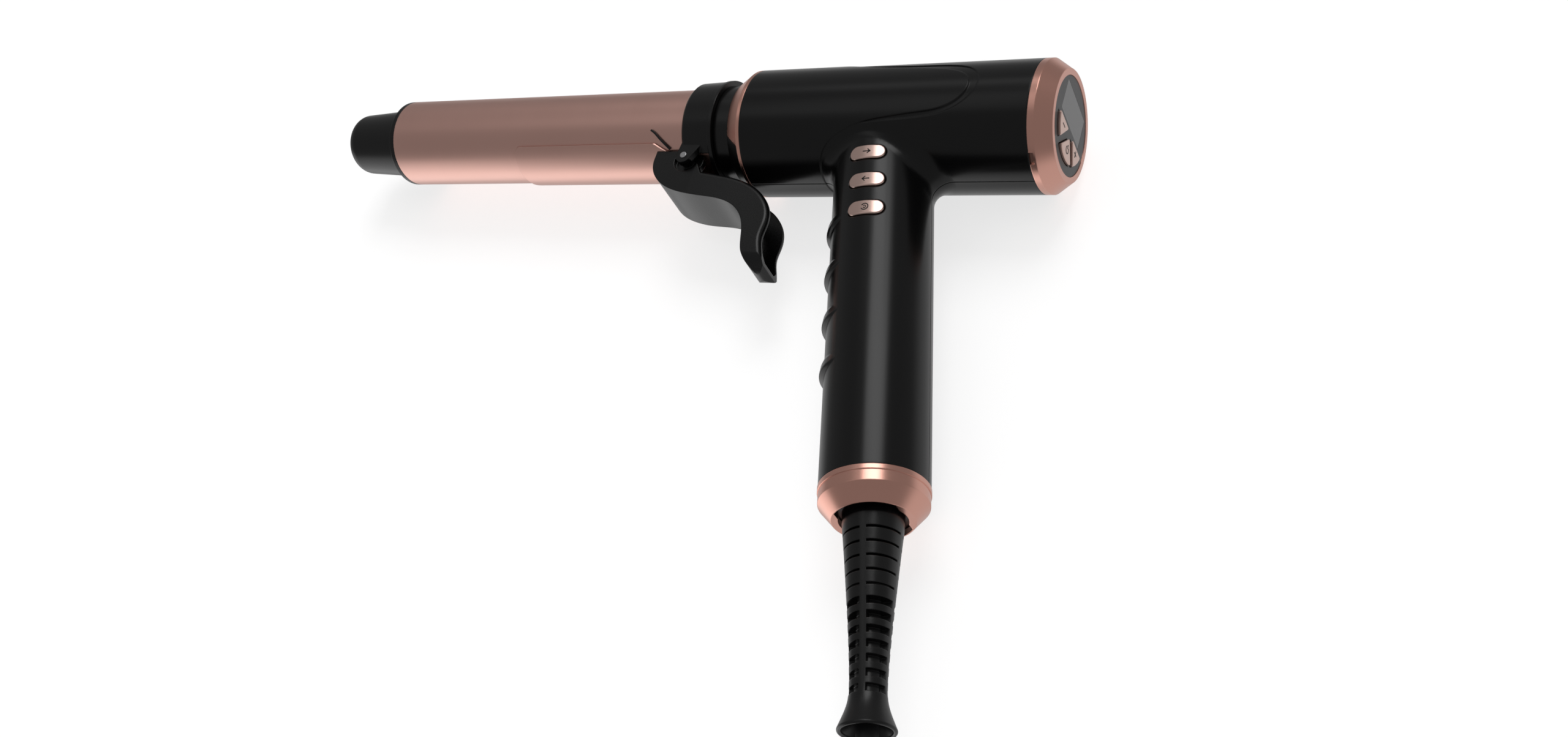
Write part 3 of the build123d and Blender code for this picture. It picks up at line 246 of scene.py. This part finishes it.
def with_seam(name, colour, roughness):
    """Glossy plastic with the dark parting line where height is that of both axes."""
    finish, shader, tree = new_finish(name, roughness, specular=0.42)
    place = tree.node("ShaderNodeTexCoord", out=3)
    height = tree.node("ShaderNodeSeparateXYZ", {}, {0: place}, out=2)
    seam = abs(height - JUNCTION.z).below(SEAM_HALF, SEAM_HALF * 0.5)
    slow = tree.node("ShaderNodeTexNoise", {}, {"Vector": place, "Scale": 22.0, "Detail": 3.0})
    fine = tree.node("ShaderNodeTexNoise", {}, {"Vector": place, "Scale": 1800.0, "Detail": 2.0})
    dark = [c * 0.85 for c in colour] + [1]
    light = [c * 1.15 for c in colour] + [1]
    feed(shader, "Base Color", seam.mix(slow.mix(dark, light), (0.0, 0.0, 0.0, 1)))
    feed(shader, "Roughness", roughness * 0.9 + slow * (roughness * 0.16) + seam * 0.6)
    rounded = tree.node("ShaderNodeBevel", {"samples": 8}, {"Radius": 0.0007})
    bump = {"Height": fine * 0.05 - seam, "Distance": 0.0002, "Strength": 0.35, "Normal": rounded}
    feed(shader, "Normal", tree.node("ShaderNodeBump", {}, bump))
    return finish


shell_black = with_seam("shell_black", (0.0032, 0.0032, 0.0034), 0.24)
dress(shell_black, "left_shell", "right_shell")
dress(moulded("stop_black", (0.003, 0.003, 0.003), 0.30), "lever_stop")
dress(moulded("screw_zinc", (0.5, 0.5, 0.5), 0.3, metallic=1.0), "shell_screws")

# ================================================================ rose-gold rings
# Plastic rings, plated in rose gold and pushed over the joined shells, close both ends of the
# housing and the end of the handle.
ring_gold = moulded("ring_gold", (0.93, 0.50, 0.405), 0.26, metallic=1.0, grain=900.0, depth=0.000006,
                    spread=0.03, edge=0.00035)
dress(ring_gold, "front_bezel", "rear_bezel", "handle_end_ring")

# ================================================================ barrel
# A drawn aluminium tube, finely brushed round and hard-coated in satin rose gold.  The clamp
# plate is pressed from coated sheet to match, and the tip and collar are glossy black nylon.


def brushed_gold(name, axis_scale):
    """Satin rose gold with fine lines, closest together along the axis of largest scale."""
    finish, shader, tree = new_finish(name, 0.34, metallic=1.0, coat=0.25)
    place = tree.node("ShaderNodeTexCoord", out=3)
    fine_place = tree.node("ShaderNodeMapping", {}, {"Vector": place, "Scale": axis_scale})
    lines = tree.node("ShaderNodeTexNoise", {}, {"Vector": fine_place, "Scale": 60.0, "Detail": 4.0})
    slow = tree.node("ShaderNodeTexNoise", {}, {"Vector": place, "Scale": 30.0, "Detail": 2.0})
    drift = lines * 0.5 + slow * 0.5
    feed(shader, "Base Color", drift.mix((0.88, 0.52, 0.44, 1), (0.95, 0.58, 0.50, 1)))
    shader.inputs["Coat Roughness"].default_value = 0.30
    feed(shader, "Roughness", 0.28 + lines * 0.10 + slow * 0.05)
    rounded = tree.node("ShaderNodeBevel", {"samples": 6}, {"Radius": 0.0004})
    bump = {"Height": lines, "Distance": 0.00001, "Strength": 0.25, "Normal": rounded}
    feed(shader, "Normal", tree.node("ShaderNodeBump", {}, bump))
    return finish


barrel_gold = brushed_gold("barrel_gold", (60, 1, 1))
dress(barrel_gold, "barrel_tube", "clamp_plate")
DEEP_BLACK = (0.0035, 0.0035, 0.0036)
gloss_black = moulded("gloss_black", DEEP_BLACK, 0.26, depth=0.000004, spread=0.1, edge=0.0005)
dress(gloss_black, "tip_flange", "tip_cap", "collar", "drive_hub")

# ================================================================ thumb lever
# A channel moulded in black plastic, with a spoon-shaped pad for the thumb.  It turns on a
# steel pin through the collar's ears, riveted to the clamp plate and shut by a wire spring.
lever_black = moulded("lever_black", DEEP_BLACK, 0.27, depth=0.000004, spread=0.1, edge=0.0005)
dress(lever_black, "clamp_lever")
dress(moulded("pin_steel", (0.62, 0.62, 0.63), 0.28, metallic=1.0), "pivot_pin", "clamp_rivets")
dress(moulded("spring_dark", (0.02, 0.02, 0.02), 0.4, metallic=0.6), "clamp_spring")

# ================================================================ cord boot
# A tapered boot moulded in soft black rubber, slit so that it bends evenly.  It turns in the
# handle's end ring on a flange.
boot_rubber = moulded("boot_rubber", (0.0045, 0.0045, 0.0047), 0.30, grain=2200.0, depth=0.00002,
                      spread=0.1, edge=0.0004)
dress(boot_rubber, "strain_relief")

# ================================================================ display end
# A dark grey moulded panel with a flat acrylic window and three plated keys round its lower
# edge, set into the rear ring.  Three more plated keys come up through the handle.
dress(moulded("panel_grey", (0.058, 0.058, 0.059), 0.40, spread=0.06), "display_panel")
dress(moulded("window_grey", (0.15, 0.15, 0.152), 0.22, spread=0.04, edge=0.0005), "display_window")
key_gold = moulded("key_gold", (0.92, 0.66, 0.58), 0.24, metallic=1.0, depth=0.000005, spread=0.03,
                   edge=0.0004)
dress(key_gold, "button_minus", "button_power", "button_plus")
dress(key_gold, "button_turn_a", "button_turn_b", "button_mode")

# ================================================================ key marks
# Signs printed on the keys in black ink: a bar, a cross, a broken ring with a stroke, an arrow
# each way, and two broken rings.
ink = moulded("key_ink", (0.012, 0.010, 0.010), 0.5, spread=0.1, edge=0.0)
STROKE = 0.00030


def bar(x0, y0, x1, y1, width=STROKE):
    """A straight stroke between two points."""
    along = Vector((x1 - x0, y1 - y0)).normalized() * (width / 2)
    side = Vector((-along.y, along.x))
    start = Vector((x0, y0)) - along
    end = Vector((x1, y1)) + along
    return [start + side, start - side, end - side, end + side]


def bow(radius, start_turn, end_turn, width=STROKE, steps=20):
    """A stroke bent round the middle, between two angles in degrees."""
    rims = []
    for r in (radius + width / 2, radius - width / 2):
        turns = [math.radians(start_turn + (end_turn - start_turn) * i / steps) for i in range(steps + 1)]
        rims.append([Vector((r * math.cos(a), r * math.sin(a))) for a in turns])
    return rims[0] + rims[1][::-1]


def print_mark(name, strokes, at, across, upward, body, sink=0.00012, proud=0.00006):
    """Makes the strokes as thin closed plates standing just proud of a key."""
    outward = across.cross(upward)
    shape = bmesh.new()
    for stroke in strokes:
        low = [shape.verts.new(at + across * p.x + upward * p.y - outward * sink) for p in stroke]
        high = [shape.verts.new(at + across * p.x + upward * p.y + outward * proud) for p in stroke]
        shape.faces.new(low[::-1])
        shape.faces.new(high)
        for i in range(len(low)):
            j = (i + 1) % len(low)
            shape.faces.new((low[i], low[j], high[j], high[i]))
    bmesh.ops.recalc_face_normals(shape, faces=shape.faces)
    mesh = bpy.data.meshes.new(name)
    shape.to_mesh(mesh)
    shape.free()
    mesh.materials.append(ink)
    mark = bpy.data.objects.new(name, mesh)
    scene.collection.objects.link(mark)
    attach(mark, body)
    return mark


ARROW = 0.0011
KEY_SKEW = math.radians(8.3)
KEY_TURN = RAKE - KEY_SKEW
along_key = Vector((math.cos(KEY_TURN), math.sin(KEY_TURN), 0))
up_key = Vector((-along_key.y, along_key.x, 0))
BARB_X = -ARROW * 0.3
BARB_Y = ARROW * 0.7
RING_GAP = 150
arrow_back = [bar(ARROW, 0, -ARROW, 0), bar(-ARROW, 0, BARB_X, BARB_Y), bar(-ARROW, 0, BARB_X, -BARB_Y)]
arrow_on = [[Vector((-p.x, p.y)) for p in stroke][::-1] for stroke in arrow_back]
ring_mark = [bow(0.00115, -RING_GAP, RING_GAP), bow(0.00045, -RING_GAP, RING_GAP, STROKE * 0.8)]
HANDLE_MARKS = [("mark_turn_on", 0.0224, arrow_on, "key_a"),
                ("mark_turn_back", 0.0336, arrow_back, "key_b"),
                ("mark_mode", 0.0448, ring_mark, "key_mode")]
for name, station, strokes, body in HANDLE_MARKS:
    at = JUNCTION + DOWN_HANDLE * station
    at.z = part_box("button_mode")[1].z
    print_mark(name, strokes, at, along_key, up_key, body)

face_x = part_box("button_power")[1].x
ARM = 0.0010
level_bar = bar(-ARM, 0, ARM, 0)
power_mark = [bow(0.0012, 125, 415), bar(0, 0.0005, 0, 0.0017)]
PANEL_MARKS = [("mark_minus", -0.0055, 0.0073, [level_bar], "key_minus"),
               ("mark_power", -0.0094, 0.0, power_mark, "key_power"),
               ("mark_plus", -0.0055, -0.0073, [level_bar, bar(0, -ARM, 0, ARM)], "key_plus")]
for name, y, z, strokes, body in PANEL_MARKS:
    at = Vector((face_x, JUNCTION.y + y, JUNCTION.z + z))
    print_mark(name, strokes, at, Vector((0, 0, -1)), Vector((0, 1, 0)), body)

# ================================================================ works inside
# Motor, gears, heater, brushes and boards, held between the shells and out of sight once they
# are closed: moulded acetal, cased electronics, turned brass, drawn aluminium and ceramic.
dress(moulded("board_green", (0.02, 0.10, 0.05), 0.35), "display_board", "key_board", "main_board")
dress(moulded("part_grey", (0.16, 0.16, 0.17), 0.4), "lcd_module", "power_supply", "capacitor",
      "brush_block")
dress(moulded("acetal_white", (0.70, 0.69, 0.65), 0.38), "front_bush", "rear_bush", "drive_gear",
      "pinion", "swivel_base")
dress(moulded("frame_black", (0.012, 0.012, 0.012), 0.4), "bulkhead")
dress(moulded("motor_steel", (0.50, 0.50, 0.50), 0.32, metallic=1.0), "gear_motor", "temperature_sensor")
dress(moulded("turned_brass", (0.62, 0.46, 0.22), 0.28, metallic=1.0), "slip_rings", "swivel_contact")
dress(moulded("brush_carbon", (0.03, 0.03, 0.03), 0.6), "brushes")
dress(moulded("drawn_aluminium", (0.58, 0.58, 0.60), 0.35, metallic=1.0), "heat_spreader")
dress(moulded("heater_ceramic", (0.66, 0.62, 0.54), 0.5), "heater")

# ================================================================ table and studio
# A large pale table under the iron, and a soft studio round it: one strong soft box beyond the
# handle, weaker ones beside and below it, and a dark flag in front.
HALF_TABLE = 4.0
corners = [(-HALF_TABLE, -HALF_TABLE, 0), (HALF_TABLE, -HALF_TABLE, 0), (HALF_TABLE, HALF_TABLE, 0),
           (-HALF_TABLE, HALF_TABLE, 0)]
floor_mesh = bpy.data.meshes.new("table_top")
floor_mesh.from_pydata(corners, [], [(0, 1, 2, 3)])
table_top = bpy.data.objects.new("table_top", floor_mesh)
scene.collection.objects.link(table_top)
table_finish, table_shader, _ = new_finish("table_pale", 0.9, specular=0.0)
table_shader.inputs["Base Color"].default_value = (0.86, 0.86, 0.86, 1)
table_shader.inputs["Emission Color"].default_value = (1, 1, 1, 1)
table_shader.inputs["Emission Strength"].default_value = 0.72
floor_mesh.materials.append(table_finish)
table_top.visible_glossy = False

studio = bpy.data.worlds.new("studio")
scene.world = studio
studio.use_nodes = True
sky = Wire(studio.node_tree)
way = sky.node("ShaderNodeTexCoord", out=0)


def toward(azimuth, elevation):
    """The direction of a lamp, from its angles in degrees."""
    a, e = math.radians(azimuth), math.radians(elevation)
    return Vector((math.cos(e) * math.cos(a), math.cos(e) * math.sin(a), math.sin(e)))


def along(direction):
    """How far each way looked points along a direction."""
    sockets = {0: way, 1: tuple(direction)}
    return sky.node("ShaderNodeVectorMath", {"operation": "DOT_PRODUCT"}, sockets, out=1)


def soft_box(azimuth, elevation, half_wide, half_high, soft):
    """1 inside a rectangle of directions, falling to 0 outside it; sizes in degrees."""
    centre = toward(azimuth, elevation)
    side = Vector((0, 0, 1)).cross(centre).normalized()
    top = centre.cross(side)
    ahead = along(centre)
    inside = ahead.step(0.0, 0.1)
    reach = sky.maths("MAXIMUM", ahead, 0.05)
    for axis, half in ((side, half_wide), (top, half_high)):
        off_centre = abs(along(axis) / reach)
        inside = inside * off_centre.below(math.tan(math.radians(half)), math.tan(math.radians(soft)))
    return inside


height = along(Vector((0, 0, 1)))
glow = 0.22 + height.below(-0.25, 0.2) * 0.3
LAMPS = [((82, 53, 15, 13, 3), 2.3), ((119, 41, 6, 5, 3), 0.45), ((160, 66, 14, 7, 5), 0.35),
         ((-146, -26, 24, 26, 8), 0.62)]
for lamp, strength in LAMPS:
    glow = glow + soft_box(*lamp) * strength
flag = soft_box(-112, -13, 12, 15, 1.5)
glow = glow * (1.0 - flag)
seen = sky.node("ShaderNodeLightPath", out=0)
brightness = seen + (1.0 - seen) * glow
studio.node_tree.links.new(brightness.socket, studio.node_tree.nodes["Background"].inputs["Strength"])
studio.node_tree.nodes["Background"].inputs["Color"].default_value = (1, 1, 1, 1)
